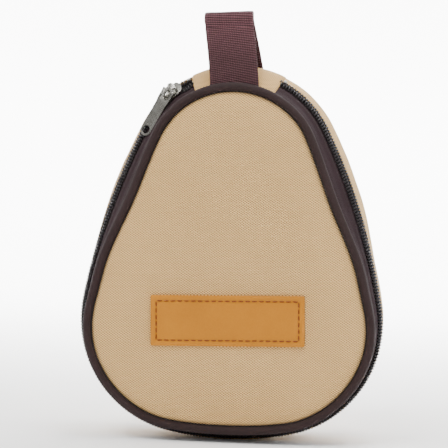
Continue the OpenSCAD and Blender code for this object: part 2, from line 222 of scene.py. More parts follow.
def finished(name, mesh, sharp=50):
    """Turns the faces outwards, shades them and links the mesh as an object."""
    shape = bmesh.new()
    shape.from_mesh(mesh)
    bmesh.ops.recalc_face_normals(shape, faces=shape.faces)
    shape.to_mesh(mesh)
    shape.free()
    mesh.shade_smooth()
    mesh.set_sharp_from_angle(angle=math.radians(sharp))
    piece = bpy.data.objects.new(name, mesh)
    bpy.context.collection.objects.link(piece)
    return piece


def placed(piece, material, body, node):
    """Gives a finished piece its material, the body it rides on and the CAD node it stands for."""
    piece.data.materials.append(material)
    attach(piece, body)
    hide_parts(node)


class Shader:
    """A material whose nodes are added by short calls."""

    def __init__(self, name, roughness, metallic=0.0):
        self.material = bpy.data.materials.new(name)
        self.material.use_nodes = True
        self.tree = self.material.node_tree
        self.out = self.tree.nodes["Principled BSDF"]
        self.out.inputs["Roughness"].default_value = roughness
        self.out.inputs["Metallic"].default_value = metallic
        self.out.inputs["Specular IOR Level"].default_value = 0.5 if metallic else 0.15

    def add(self, kind, values=(), **settings):
        node = self.tree.nodes.new(kind)
        for key, value in settings.items():
            setattr(node, key, value)
        for socket, value in zip(node.inputs, values):
            if hasattr(value, "is_linked"):
                self.tree.links.new(value, socket)
            elif value is not None:
                socket.default_value = value
        return node

    def maths(self, operation, *values):
        return self.add("ShaderNodeMath", values, operation=operation).outputs[0]

    def place(self, output="UV"):
        return self.add("ShaderNodeTexCoord").outputs[output]

    def noise(self, vector, scale, detail=2.0):
        node = self.add("ShaderNodeTexNoise", [vector])
        node.inputs["Scale"].default_value = scale
        node.inputs["Detail"].default_value = detail
        return node.outputs[0]

    def ramp(self, value, stops):
        node = self.add("ShaderNodeValToRGB", [value])
        points = node.color_ramp.elements
        while len(points) < len(stops):
            points.new(0.5)
        for point, (at, shade) in zip(points, stops):
            point.position = at
            point.color = (*shade, 1)
        return node.outputs[0]

    def blend(self, factor, a, b, mode="MIX"):
        node = self.add("ShaderNodeMix", data_type="RGBA", blend_type=mode)
        for socket, value in ((node.inputs[0], factor), (node.inputs[6], a), (node.inputs[7], b)):
            if hasattr(value, "is_linked"):
                self.tree.links.new(value, socket)
            else:
                socket.default_value = value
        return node.outputs[2]

    def bump(self, height, depth, strength=1.0):
        node = self.add("ShaderNodeBump")
        node.inputs["Strength"].default_value = strength
        node.inputs["Distance"].default_value = depth
        self.tree.links.new(height, node.inputs["Height"])
        self.tree.links.new(node.outputs[0], self.out.inputs["Normal"])

    def colour(self, value):
        self.tree.links.new(value, self.out.inputs["Base Color"])


def canvas_finish(name, light, dark, pitch):
    """Canvas whose raised threads make a lozenge pattern: two sets of fine diagonal ribs."""
    s = Shader(name, 0.9)
    s.out.inputs["Sheen Weight"].default_value = 0.04
    uv = s.place()
    drift = s.add("ShaderNodeTexNoise", [uv])
    drift.inputs["Scale"].default_value = 70
    drift.inputs["Detail"].default_value = 1
    small = s.add("ShaderNodeVectorMath", [drift.outputs[1]], operation="SCALE")
    small.inputs["Scale"].default_value = 0.0008
    warped = s.add("ShaderNodeVectorMath", [uv, small.outputs[0]], operation="ADD")
    ribs = []
    for angle, scale in ((math.radians(55), 1.0), (math.radians(-54), 1.06)):
        way = (math.cos(angle), math.sin(angle), 0)
        along_way = s.add("ShaderNodeVectorMath", [warped.outputs[0], way], operation="DOT_PRODUCT")
        ribs.append(s.maths("SINE", s.maths("MULTIPLY", along_way.outputs[1], 2 * math.pi * scale / pitch)))
    weave = s.maths("MULTIPLY_ADD", ribs[1], 0.45, s.maths("MULTIPLY", ribs[0], 0.5))
    height = s.maths("MULTIPLY_ADD", s.noise(uv, 2400, 2), 0.45, weave)
    level = s.add("ShaderNodeMapRange", [height, -0.7, 1.2, 0, 1]).outputs[0]
    tone = s.ramp(level, [(0.0, dark), (0.6, light), (1.0, tuple(min(1, c * 1.12) for c in light))])
    patch = s.ramp(s.noise(uv, 24, 4), [(0.3, (0.95, 0.94, 0.93)), (0.7, (1, 1, 1))])
    # Painted shade: the canvas darkens to a deep brown where its edge dives into the seam under the piping
    painted_seam_shade = s.ramp(s.add("ShaderNodeAttribute", attribute_name="seam_shade_mask").outputs["Fac"],
                    [(0.08, (1, 1, 1)), (0.5, (0.11, 0.15, 0.3))])
    s.colour(s.blend(1.0, s.blend(1.0, tone, patch, "MULTIPLY"), painted_seam_shade, "MULTIPLY"))
    s.bump(height, 0.00018, 0.9)
    return s.material


canvas = canvas_finish("sand_canvas", (0.71, 0.445, 0.18), (0.10, 0.055, 0.018), 1.1 * MM)

canvas_t = 0.8
dome = 3.5
dome_run = 22
face_run = 60
swell_cap = 1.4
edge_inset = piping_r - 0.5
rim_n = 300
rim_stations = [half_rim * (2 * (k + 0.5) / rim_n - 1) for k in range(rim_n)]
face_middle_z = 88 * MM
pucker_rng = random.Random(11)
pucker_waves = [(pucker_rng.randint(38, 85), pucker_rng.uniform(0, 6.28), pucker_rng.uniform(0.3, 1))
                for k in range(7)]


def pucker(d):
    """Uneven gathers along the seam, from -1 to 1, that close up round the rim."""
    turn = math.pi * d / half_rim
    return sum(a * math.sin(k * turn + p) for k, p, a in pucker_waves) / 3


def face_rise(depth_in):
    """How far the padded face stands up at a distance in from its seam, in mm."""
    return dome * (1 - (1 - min(depth_in, dome_run) / dome_run) ** 2.4)


def face_ring(deep, shrink=1.0):
    """Points (x, z) in metres round a face, at a distance in mm in from its edge, then drawn in."""
    ring = []
    for d in rim_stations:
        x, y, z = spot(d, -seam_inset(d) - edge_inset - deep, 0)
        ring.append((x * shrink, (z - face_middle_z) * shrink + face_middle_z))
    return ring


def made_mesh(piece):
    """The mesh of an object with its modifiers applied."""
    return bpy.data.meshes.new_from_object(piece.evaluated_get(bpy.context.evaluated_depsgraph_get()))


def ray_tree(mesh):
    return bvhtree.BVHTree.FromPolygons([v.co for v in mesh.vertices], [p.vertices for p in mesh.polygons])


def padded_relief(side):
    """Blows up the padded face as cloth, held at its seam. Returns its swell in mm as a function of x, z."""
    pad_depth, held_depth, held_width = 5, 2, 4
    rings = [(face_ring(deep, shrink), face_rise(deep + (1 - shrink) * face_run))
             for deep, shrink in ((0, 1), (2, 1), (5, 1), (9, 1), (14, 1), (14, 0.8), (14, 0.5), (14, 0.2))]
    outer = [[(x, side * (half_depth + rise) * MM, z) for x, z in ring] for ring, rise in rings]
    inner = [[(x, side * (half_depth - pad_depth) * MM, z) for x, z in ring] for ring, rise in rings]
    pad = loft("pad_form", inner[::-1] + outer, False, flat_uv=True)
    mesher = pad.modifiers.new("remesh", "REMESH")
    mesher.mode = "VOXEL"
    mesher.voxel_size = 3 * MM
    bpy.context.view_layer.update()
    form = made_mesh(pad)
    pad.modifiers.clear()
    pad.data = form
    before = ray_tree(form)
    seam = kdtree.KDTree(rim_n)
    for index, (x, z) in enumerate(face_ring(0)):
        seam.insert((x, 0, z), index)
    seam.balance()
    held = [v.index for v in form.vertices if seam.find((v.co.x, 0, v.co.z))[2] < held_width * MM or
            side * v.co.y < (half_depth - held_depth) * MM]
    pad.vertex_groups.new(name="held").add(held, 1, "ADD")
    cloth = pad.modifiers.new("cloth", "CLOTH")
    cloth.settings.quality = 5
    cloth.settings.mass = 0.15
    cloth.settings.tension_stiffness = 20
    cloth.settings.bending_stiffness = 2
    cloth.settings.shrink_min = -0.006
    cloth.settings.use_pressure = True
    cloth.settings.uniform_pressure_force = 1.2
    cloth.settings.vertex_group_mass = "held"
    cloth.settings.effector_weights.gravity = 0
    for frame_number in range(1, 21):
        bpy.context.scene.frame_set(frame_number)
    blown = made_mesh(pad)
    bpy.context.scene.frame_set(1)
    bpy.data.objects.remove(pad)
    after = ray_tree(blown)

    def relief(x, z):
        start, way = Vector((x, side * 0.1, z)), Vector((0, -side, 0))
        low, high = before.ray_cast(start, way)[0], after.ray_cast(start, way)[0]
        if low is None or high is None:
            return 0.0
        return swell_cap * math.tanh(max(0, side * (high.y - low.y)) / MM / swell_cap)

    return relief


label_low, label_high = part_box("leather_label")
label_half = (label_high.x, (label_high.z - label_low.z) / 2)
label_middle = (label_high.z + label_low.z) / 2
label_press = 9
dent_x, dent_z, dent_depth, dent_spread = -33, 170, 0.9, 28


def face_sheet(name, side, out_y, thickness, inset=0.0, relief=1.0, swelling=None):
    """A padded face or its lining. side is -1 at the front and 1 at the back."""
    edge_steps = (0, 0.4, 0.9, 1.6, 2.5, 3.6, 5, 6.8, 9, 12, 16)
    scales = (0.93, 0.84, 0.74, 0.63, 0.52, 0.41, 0.3, 0.2, 0.11, 0.04)
    outer, inner, seam_shade_mask = [], [], []
    for k in edge_steps + scales:
        ring_out, ring_in = [], []
        for d in rim_stations:
            off = -seam_inset(d) - edge_inset - inset - (k if k in edge_steps else edge_steps[-1])
            x, y, z = spot(d, off, 0)
            deep = k
            if k not in edge_steps:
                deep = edge_steps[-1] + (1 - k) * face_run
                x *= k
                z = face_middle_z + (z - face_middle_z) * k
            wave = noise.noise((x * 30, z * 30, side * 3.1)) * 0.5
            wave += noise.noise((x * 80, z * 80, side)) * 0.12
            gather = pucker(d) * 0.3 * math.exp(-deep / 5) * min(1, deep / 1.2)
            tuck = 2.6 * math.exp(-deep / 1.1)
            rise = face_rise(deep) + relief * (wave * min(1, deep / 12) + gather) - tuck
            if swelling:
                rise += swelling(x, z) * min(1, deep / 6)
            if side < 0:
                # The label presses the canvas flat behind it
                clear = max(abs(x) - label_half[0], abs(z - label_middle) - label_half[1]) / MM / label_press
                rise = face_rise(deep) + (rise - face_rise(deep)) * min(1, max(0, clear))
                # A soft dent beside the slider, where the zip pulls the canvas in
                from_dent = (x / MM - dent_x) ** 2 + (z / MM - dent_z) ** 2
                rise -= dent_depth * math.exp(-from_dent / dent_spread)
            ring_out.append((x, side * (out_y + rise) * MM, z))
            ring_in.append((x, side * (out_y - thickness + rise) * MM, z))
        outer.append(ring_out)
        inner.append(ring_in)
        seam_shade_mask.append(math.exp(-k / 1.2) if k in edge_steps else 0)
    piece = loft(name, inner[::-1] + outer, False, flat_uv=True)
    # Mask of the painted seam shade: full at the seam edge, fading within a few millimetres inwards
    shade = piece.data.attributes.new("seam_shade_mask", "FLOAT", "POINT")
    shade.data.foreach_set("value", [v for v in seam_shade_mask[::-1] + seam_shade_mask for d in rim_stations])
    return piece


front_panel = face_sheet("front_panel_canvas", -1, half_depth + canvas_t, canvas_t,
                         swelling=padded_relief(-1))
placed(front_panel, canvas, "front_flap", "front_panel")

# ---- Foam sheets -------------------------------------------------------------------------
# Die-cut 3 mm open-cell foam under every canvas face. It is sealed between canvas and lining, so
# it keeps its plain cut shape and only takes the pale, pitted look of foam.
foam = Shader("open_cell_foam", 0.95)
foam_cells = foam.add("ShaderNodeTexVoronoi", [foam.place("Object")])
foam_cells.inputs["Scale"].default_value = 900
foam.colour(foam.ramp(foam_cells.outputs[0], [(0.0, (0.552, 0.527, 0.468)), (0.6, (0.839, 0.815, 0.753))]))
foam.bump(foam_cells.outputs[0], 0.0004)


def finish_node(name, material):
    """Gives a CAD node that stays in view its material."""
    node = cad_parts[name]
    node.data.materials.clear()
    node.data.materials.append(material)


for foam_name in ("front_padding", "back_padding", "gusset_padding", "bridge_padding"):
    finish_node(foam_name, foam.material)

# ---- Lining of the flap ------------------------------------------------------------------
# Thin plain-woven nylon on the inner side of the flap, cut to the same pear shape and caught in the
# same seam. It is seen when the flap is open.
def plain_weave(name, light, dark, pitch, roughness, sheen=0.03, depth=0.00006):
    """Plain weave: threads over and under each other on a square grid."""
    s = Shader(name, roughness)
    s.out.inputs["Sheen Weight"].default_value = sheen
    uv = s.place()
    split = s.add("ShaderNodeSeparateXYZ", [uv])
    turn = 2 * math.pi / pitch
    warp = s.maths("SINE", s.maths("MULTIPLY", split.outputs[0], turn))
    weft = s.maths("SINE", s.maths("MULTIPLY", split.outputs[1], turn))
    height = s.maths("MULTIPLY_ADD", s.maths("MULTIPLY", warp, weft), 0.5, s.noise(uv, 1800, 2))
    level = s.add("ShaderNodeMapRange", [height, 0.0, 1.0, 0, 1]).outputs[0]
    patch = s.ramp(s.noise(uv, 40, 3), [(0.3, (0.9, 0.9, 0.9)), (0.7, (1, 1, 1))])
    s.colour(s.blend(1.0, s.ramp(level, [(0.1, dark), (0.9, light)]), patch, "MULTIPLY"))
    s.bump(height, depth)
    return s.material


lining_cloth = plain_weave("lining_nylon", (0.162, 0.133, 0.107), (0.0612, 0.0513, 0.0423), 0.5 * MM, 0.6)
lining_out = half_depth - 3.4
lining_t = 0.35
lining_inset = 1.2
front_lining = face_sheet("front_lining_cloth", -1, lining_out, lining_t, inset=lining_inset, relief=0.5)
placed(front_lining, lining_cloth, "front_flap", "front_lining")

# ---- Front piping ------------------------------------------------------------------------
# A strip of dark bias-cut cloth wrapped round a filler cord, with its two edges laid together into
# the seam between the face and the zip tape. The cord inside keeps its CAD shape.
trim_cloth = plain_weave("dark_bias_cloth", (0.036, 0.020, 0.020), (0.012, 0.007, 0.007), 0.55 * MM, 0.72)
piping_lip = 3.2
piping_open = 36
piping_facets = 20


def piping_ring(d, side):
    """Section of the piping: round, but open where its lip runs into the seam."""
    fat = piping_r * (1 + 0.02 * noise.noise((d * 0.05, side * 4.0, 0)))
    centre = -seam_inset(d)
    facet = (360 - piping_open) / piping_facets
    turns = [math.radians(piping_open / 2 - 90 + k * facet) for k in range(piping_facets + 1)]
    points = [(centre + fat * math.cos(a), half_depth + fat * math.sin(a)) for a in turns]
    points += [(centre - 0.9, half_depth - piping_lip), (centre + 0.1, half_depth - piping_lip)]
    return [spot(d, off, side * y) for off, y in points]


def piping(name, side, body, node):
    piece = loft(name, [piping_ring(d, side) for d in rim_stations], True)
    placed(piece, trim_cloth, body, node)


piping("front_piping_bias", -1, "front_flap", "front_piping_cover")
cord_yarn = Shader("filler_cord", 0.8)
cord_wave = cord_yarn.add("ShaderNodeTexWave", [cord_yarn.place("Object")])
cord_wave.inputs["Scale"].default_value = 500
cord_yarn.colour(cord_yarn.ramp(cord_wave.outputs[0],
                                [(0, (0.515, 0.491, 0.434)), (1, (0.776, 0.753, 0.68))]))
cord_yarn.bump(cord_wave.outputs[0], 0.0003)
finish_node("front_piping_cord", cord_yarn.material)

# ---- Zip tapes ---------------------------------------------------------------------------
# Woven polyester tape of a size 5 coil zip, dark brown with a purple cast. The front tape runs from
# the piping seam up to its row of coil; the rear one disappears under the folded edge of the gusset.
tape_cloth = plain_weave("zip_tape_weave", (0.034, 0.016, 0.019), (0.011, 0.005, 0.007), 0.42 * MM, 0.62)
bridge_angle = math.radians(25)
bridge_start = half_rim - cap_r * bridge_angle
slider_angle = 40
slider_lean = math.radians(20)
lean_reach = 16
lean_fade = 8
spread_most = 1.5
rear_spread = 0.6
tape_edge = 1.9
tape_drop = 0.35
tape_t = 0.55


def tape_slope(d):
    """Slope of the tape out of the side wall. The slider's weight twists it further to the front."""
    away = abs(d + half_rim - cap_r * math.radians(slider_angle))
    twist = slider_lean * min(1, max(0, (lean_reach - away) / lean_fade)) if d < 0 else 0
    return math.atan(seam_inset(d) / (half_depth - chain_depth)) + twist


def on_tape(d, across, up):
    """(off, y) of a point across the chain and up from it, in the slope of the zip tape."""
    a = tape_slope(d)
    return (across * math.sin(a) + up * math.cos(a), across * math.cos(a) - up * math.sin(a) - chain_depth)


def spread(d):
    """How far each row stands off the closed chain, where the slider parts them near the left stop."""
    nose = -(half_rim - cap_r * math.radians(slider_angle - 3))
    return spread_most * min(1, max(0, (nose - d) / 5))


tape_d = np.linspace(-bridge_start - 1, bridge_start + 1, 330)


def front_tape_ring(d):
    """Section of the front tape: two woven ridges along it, and a slight sag between its edges."""
    top, low = [], []
    start = on_tape(d, -tape_edge - spread(d), -tape_drop)
    end = (-seam_inset(d) + 0.2, -half_depth + 1.2)
    a = tape_slope(d)
    for k in range(15):
        t = k / 14
        ridge = 0.5 * math.exp(-((t - 0.27) / 0.1) ** 2) + 0.15 * math.exp(-((t - 0.62) / 0.14) ** 2)
        rise = ridge - 0.5 * t * (1 - t)
        off = start[0] + (end[0] - start[0]) * t
        y = start[1] + (end[1] - start[1]) * t
        top.append((off + rise * math.cos(a), y - rise * math.sin(a)))
        low.append((off + (rise - tape_t) * math.cos(a), y - (rise - tape_t) * math.sin(a)))
    return [spot(d, *p) for p in top + low[::-1]]


front_tape = loft("front_zip_tape_weave", [front_tape_ring(d) for d in tape_d], False)
placed(front_tape, tape_cloth, "front_flap", "front_zip_tape")


def rear_tape_ring(d):
    """Section of the rear tape. Where the slider twists the zip, its far edge stays under the gusset."""
    s = spread(d) * rear_spread
    dip = 11 * math.sin(max(0, tape_slope(d) - tape_slope(abs(d))))
    section = [(tape_edge + s, -tape_drop), (3.0 + s, -0.4), (4.2 + s, -1.0 - 0.4 * dip), (8, -2.4 - dip)]
    section += [(8, -2.9 - dip), (4.2 + s, -1.5 - 0.4 * dip), (3.0 + s, -0.95), (tape_edge + s, -0.9)]
    points = [on_tape(d, across, up) for across, up in section]
    return [spot(d, off, y, 0.8) for off, y in points]


rear_tape = loft("rear_zip_tape_weave", [rear_tape_ring(d) for d in tape_d], False)
placed(rear_tape, tape_cloth, "shell", "rear_zip_tape")

# ---- Zip coils ---------------------------------------------------------------------------
# Each row is one nylon filament wound into a flat coil, 1.7 mm a turn. The heads of the two rows
# interlock over the centre line, half a pitch apart. A turn is laid at every pitch along the rim.
nylon = Shader("black_nylon_coil", 0.42)
nylon.colour(nylon.ramp(nylon.noise(nylon.place("Object"), 700, 2),
                        [(0.3, (0.005, 0.0035, 0.004)), (0.7, (0.015, 0.010, 0.011))]))
nylon.out.inputs["Specular IOR Level"].default_value = 0.35
coil_pitch = 1.68
coil_middle = 1.15
coil_half = 1.6
coil_rise = 0.72
filament_r = 0.38
coil_stand = 0.25
ground_press = 0.6
ground_reach = 30


def tube(name, sections, facets):
    """A closed tube in metres through sections in mm, each (middle, one axis, other axis, radius)."""
    turns = [2 * math.pi * j / facets for j in range(facets)]
    verts, faces = [], []
    for k, (middle, one, other, radius) in enumerate(sections):
        verts += [tuple((middle + (one * math.cos(a) + other * math.sin(a)) * radius) * MM) for a in turns]
        if k:
            last = (k - 1) * facets
            faces += [(last + j, last + (j + 1) % facets, last + facets + (j + 1) % facets,
                       last + facets + j) for j in range(facets)]
    faces += [tuple(range(facets)), tuple(range(len(verts) - facets, len(verts)))[::-1]]
    mesh = bpy.data.meshes.new(name)
    mesh.from_pydata(verts, [], faces)
    return finished(name, mesh, 80)


def coil_turn(side):
    """One turn of the coil: an oval loop whose head bulges at the centre line."""
    steps = 16
    path = []
    for k in range(steps + 1):
        t = 2 * math.pi * k / steps
        across = side * (coil_middle - coil_half * math.cos(t))
        path.append(Vector((coil_pitch * (k / steps - 0.5), across, coil_rise * math.sin(t))))
    sections = []
    for k, p in enumerate(path):
        forward = (path[min(k + 1, steps)] - path[max(k - 1, 0)]).normalized()
        side_way = forward.cross(Vector((1, 0, 0))).normalized()
        head = filament_r * (1.15 if k in (0, 1, steps - 1, steps) else 1)
        sections.append((p, side_way, side_way.cross(forward), head))
    return tube("coil_turn", sections, 6)


def laying_tree():
    """Geometry nodes that lay a unit on every point, turned as the point says, a little unevenly."""
    tree = bpy.data.node_groups.new("lay_along", "GeometryNodeTree")
    face = tree.interface
    face.new_socket("Points", in_out="INPUT", socket_type="NodeSocketGeometry")
    face.new_socket("Unit", in_out="INPUT", socket_type="NodeSocketObject")
    face.new_socket("Size", in_out="INPUT", socket_type="NodeSocketFloat").default_value = 1
    face.new_socket("Unevenness", in_out="INPUT", socket_type="NodeSocketFloat").default_value = 0.02
    face.new_socket("Finish", in_out="INPUT", socket_type="NodeSocketMaterial")
    face.new_socket("Laid", in_out="OUTPUT", socket_type="NodeSocketGeometry")
    nodes, links = tree.nodes, tree.links
    given = nodes.new("NodeGroupInput")
    turn = nodes.new("GeometryNodeInputNamedAttribute")
    turn.data_type = "FLOAT_VECTOR"
    turn.inputs["Name"].default_value = "turn"
    chance = nodes.new("FunctionNodeRandomValue")
    chance.data_type = "FLOAT_VECTOR"
    chance.inputs[0].default_value = (-1, -1, -1)
    chance.inputs[1].default_value = (1, 1, 1)
    chance.inputs["Seed"].default_value = 7
    spread_node = nodes.new("ShaderNodeVectorMath")
    spread_node.operation = "SCALE"
    links.new(chance.outputs[0], spread_node.inputs[0])
    links.new(given.outputs["Unevenness"], spread_node.inputs["Scale"])
    add = nodes.new("ShaderNodeVectorMath")
    links.new(turn.outputs[0], add.inputs[0])
    links.new(spread_node.outputs[0], add.inputs[1])
    angle = nodes.new("FunctionNodeEulerToRotation")
    links.new(add.outputs[0], angle.inputs[0])
    unit = nodes.new("GeometryNodeObjectInfo")
    links.new(given.outputs["Unit"], unit.inputs[0])
    lay = nodes.new("GeometryNodeInstanceOnPoints")
    links.new(given.outputs["Points"], lay.inputs["Points"])
    links.new(unit.outputs["Geometry"], lay.inputs["Instance"])
    links.new(angle.outputs[0], lay.inputs["Rotation"])
    links.new(given.outputs["Size"], lay.inputs["Scale"])
    real = nodes.new("GeometryNodeRealizeInstances")
    links.new(lay.outputs[0], real.inputs[0])
    coat = nodes.new("GeometryNodeSetMaterial")
    links.new(real.outputs[0], coat.inputs[0])
    links.new(given.outputs["Finish"], coat.inputs["Material"])
    links.new(coat.outputs[0], nodes.new("NodeGroupOutput").inputs[0])
    return tree


lay_along = laying_tree()


def laid(name, spots, unit, finish, unevenness=0.02, size=1.0):
    """Lays the unit at each (point, matrix) and returns one plain mesh object."""
    mesh = bpy.data.meshes.new(name)
    mesh.from_pydata([tuple(p) for p, turn in spots], [], [])
    turns = mesh.attributes.new("turn", "FLOAT_VECTOR", "POINT")
    turns.data.foreach_set("vector", [c for p, turn in spots for c in turn.to_euler()])
    carrier = bpy.data.objects.new(name + "_points", mesh)
    bpy.context.collection.objects.link(carrier)
    maker = carrier.modifiers.new("lay", "NODES")
    maker.node_group = lay_along
    settings = {"Unit": unit, "Size": size, "Unevenness": unevenness, "Finish": finish}
    for item in lay_along.interface.items_tree:
        if item.item_type == "SOCKET" and item.in_out == "INPUT" and item.name in settings:
            maker[item.identifier] = settings[item.name]
    bpy.context.view_layer.update()
    result = made_mesh(carrier)
    result.name = name
    bpy.data.objects.remove(carrier)
    bpy.data.objects.remove(unit)
    piece = bpy.data.objects.new(name, result)
    bpy.context.collection.objects.link(piece)
    return piece


def chain_frame(d, across=0.0, up=0.0):
    """Place on the zip line, and its axes: along towards the bridge on the left, across, and up."""
    x, z, nx, nz = rim(d)
    out = Vector((nx, 0, nz))
    deep = Vector((0, 1, 0))
    a = tape_slope(d)
    side_way = out * math.sin(a) + deep * math.cos(a)
    up_way = out * math.cos(a) - deep * math.sin(a)
    place = Vector((x, -chain_depth, z)) + side_way * across + up_way * up
    return place * MM, Matrix((deep.cross(out), side_way, up_way)).transposed()


def coil(name, side, phase, body, node):
    """One row of coil. Under the bottom the ground presses it up."""
    spots = []
    for k in range(int(2 * bridge_start / coil_pitch)):
        d = -bridge_start + 0.5 + (k + phase) * coil_pitch
        s = spread(d) * (1 if side < 0 else rear_spread)
        spots.append(chain_frame(d, side * s, coil_stand - ground_press * math.exp(-(d / ground_reach) ** 2)))
    piece = laid(name, spots, coil_turn(side), nylon.material, 0.03)
    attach(piece, body)
    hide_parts(node)


coil("front_coil_turns", -1, 0.0, "front_flap", "front_zip_coil")
coil("rear_coil_turns", 1, 0.5, "shell", "rear_zip_coil")

# ---- Gusset ------------------------------------------------------------------------------
# The side wall: a long strip of the same twill over foam, from the folded edge beside the zip round
# to the back seam. It swells most at the shoulders and lies flat under the bottom, where it stands.
gusset_back = half_depth - 2.6
fold_at = 3.1
fold_up = 0.35


def wall_fall(d, y):
    """Outward offset in mm of a side wall that falls from its swell to a panel seam, y mm away."""
    b = swell(d)
    return b - (b + 0.95 * seam_inset(d)) * (y / 25.6) ** 2.2


def gusset_offset(d, y):
    """Outward offset of the gusset's face at depth y, in mm."""
    if y >= 0:
        return wall_fall(d, y)
    b = swell(d)
    fold_off, fold_y = on_tape(d, fold_at, fold_up)
    return b - (b - fold_off) * (y / fold_y) ** 1.7


def crumple(d, y, amount):
    """Soft unevenness of a cloth wall, in mm."""
    x, z, nx, nz = rim(d)
    here = Vector((x * 0.035, y * 0.05, z * 0.035))
    return amount * (noise.noise(here) + 0.4 * noise.noise(here * 2.7))


def wall_ring(d, ys, depth, thickness, amount=0.35):
    """Section of a layer of the wall, at a depth in mm below its outer face, that lies on the ground."""
    out = []
    for y in ys:
        uneven = crumple(d, y, amount * min(1, (25.4 - abs(y)) / 5))
        out.append((gusset_offset(d, y) - depth + uneven, y))
    ring = [spot(d, off, y, depth) for off, y in out]
    return ring + [spot(d, off - thickness, y, depth + thickness) for off, y in out[::-1]]


def gusset_ring(d):
    """Section of the gusset. Its cut edge is turned under beside the zip, which leaves it round."""
    fold_y = on_tape(d, fold_at, fold_up)[1]
    ys = [gusset_back + (fold_y - gusset_back) * (1 - math.cos(math.pi * k / 26)) / 2 for k in range(27)]
    ring = wall_ring(d, ys, 0, 1.0)
    lip = [on_tape(d, fold_at - back, up) for back, up in ((0.35, 0.1), (0.45, -0.25), (0.3, -0.55))]
    half = len(ys)
    return ring[:half] + [spot(d, off, y) for off, y in lip] + ring[half:]


gusset_d = np.linspace(-bridge_start + 0.1, bridge_start - 0.1, 330)
gusset = loft("gusset_twill", [gusset_ring(d) for d in gusset_d], False)
placed(gusset, canvas, "shell", "gusset_canvas")

lining_ys = [21.5 - 24.5 * k / 12 for k in range(13)]
gusset_lining_rings = [wall_ring(d, lining_ys, 4.6, 0.4, 0.2) for d in gusset_d]
gusset_lining = loft("gusset_lining_cloth", gusset_lining_rings, False)
placed(gusset_lining, lining_cloth, "shell", "gusset_lining")

# ---- Bridge ------------------------------------------------------------------------------
# A short piece of twill over foam that closes the top from front seam to back seam. Its two ends are
# turned under and lap over the ends of the zip and of the gusset.
bridge_lap = 1.2
bridge_d = np.linspace(bridge_start - bridge_lap, 2 * half_rim - bridge_start + bridge_lap, 70)


def bridge_ring(d, depth, thickness, reach, amount=0.3):
    """Section of a layer of the bridge, from seam to seam. Its outer face rounds off at the ends."""
    end = min(d - bridge_d[0], bridge_d[-1] - d)
    lift = 0.75 * (1 - math.exp(-max(0, end) / 0.35)) if depth == 0 else 0
    out = []
    for k in range(31):
        y = -reach * math.cos(math.pi * k / 30)
        uneven = crumple(d, y, amount * min(1, (25.7 - abs(y)) / 6))
        out.append((wall_fall(half_rim, abs(y)) - depth + lift + uneven, y))
    ring = [spot(d, off, y) for off, y in out]
    return ring + [spot(d, off - thickness - lift * 0.5, y) for off, y in out[::-1]]


bridge = loft("bridge_twill", [bridge_ring(d, 0, 0.9, gusset_back + 0.1) for d in bridge_d], False)
placed(bridge, canvas, "shell", "bridge_canvas")
bridge_lining = loft("bridge_lining_cloth", [bridge_ring(d, 4.9, 0.4, 20, 0.1) for d in bridge_d], False)
placed(bridge_lining, lining_cloth, "shell", "bridge_lining")

# ---- Back panel, its lining and its piping -----------------------------------------------
# The back is made like the face, from the same pattern, with no label. It is sewn to the gusset.
back_panel = face_sheet("back_panel_canvas", 1, half_depth + canvas_t, canvas_t, swelling=padded_relief(1))
placed(back_panel, canvas, "shell", "back_panel")
back_lining = face_sheet("back_lining_cloth", 1, lining_out, lining_t, inset=lining_inset, relief=0.5)
placed(back_lining, lining_cloth, "shell", "back_lining")
piping("back_piping_bias", 1, "shell", "back_piping_cover")
finish_node("back_piping_cord", cord_yarn.material)

# ---- Seam bindings -----------------------------------------------------------------------
# Inside, the raw edges of each rim seam are wrapped in a narrow woven tape and pressed flat on the
# lining.
binding_tape = plain_weave("binding_tape", (0.045, 0.030, 0.026), (0.016, 0.011, 0.010), 0.6 * MM, 0.7)


def binding_ring(d, side):
    """Section of the binding: a flat tape with soft edges, that flutters a little with the gathers."""
    outer, width, thick, y = -seam_inset(d) - 0.9, 6.2, 1.2, half_depth - 4.0
    flutter = 0.25 * pucker(d)
    points = []
    for k in range(9):
        t = k / 8
        puff = thick * (0.75 + 0.25 * math.sin(math.pi * t)) * 0.5
        points.append((outer - width * t, y - thick / 2 - flutter * t - puff))
    points += [(off, 2 * (y - thick / 2 - flutter * (outer - off) / width) - v) for off, v in points[::-1]]
    return [spot(d, off, side * v) for off, v in points]


for side, body, node in ((-1, "front_flap", "front_seam_binding"), (1, "shell", "back_seam_binding")):
    binding = loft(node + "_tape", [binding_ring(d, side) for d in rim_stations], True)
    placed(binding, binding_tape, body, node)

# ---- Webbing loop ------------------------------------------------------------------------
# Nylon webbing a little over an inch wide, with strong cross ribs, folded over once. The front leg
# goes down into the front seam under the piping, and the rear leg is sewn to the crest of the bridge.
webbing_w = 26.5
webbing_t = 1.8
loop_front = Vector((-26.4, 191.6))
loop_rear = Vector((1, 203.5))
loop_turn_r = 4
loop_turn = Vector((-12.5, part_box("webbing_loop")[1].z / MM - webbing_t / 2 - loop_turn_r))
rib_pitch = 1.3
warp_pitch = 1.25
rib_sections = 5
loop_low = 192.0
loop_lean = 5.2


def tangent_angle(foot, side):
    """Angle at which the leg from a foot meets the round turn at the top of the loop."""
    d = foot - loop_turn
    return math.atan2(d.y, d.x) + side * math.acos(loop_turn_r / d.length)


def loop_path():
    """Centre line of the strap in the side view, as (point, normal), closely spaced."""
    step = rib_pitch / rib_sections

    def on_turn(t):
        return loop_turn + loop_turn_r * Vector((math.cos(t), math.sin(t)))

    def leg(start, end, normal):
        n = int((end - start).length / step)
        return [(start.lerp(end, k / n), normal) for k in range(n + 1)]

    a = tangent_angle(loop_front, -1) + 2 * math.pi
    b = tangent_angle(loop_rear, 1)
    n = int(loop_turn_r * (a - b) / step)
    turn = [a + (b - a) * k / n for k in range(1, n)]
    return leg(loop_front, on_turn(a), a) + [(on_turn(t), t) for t in turn] + leg(on_turn(b), loop_rear, b)


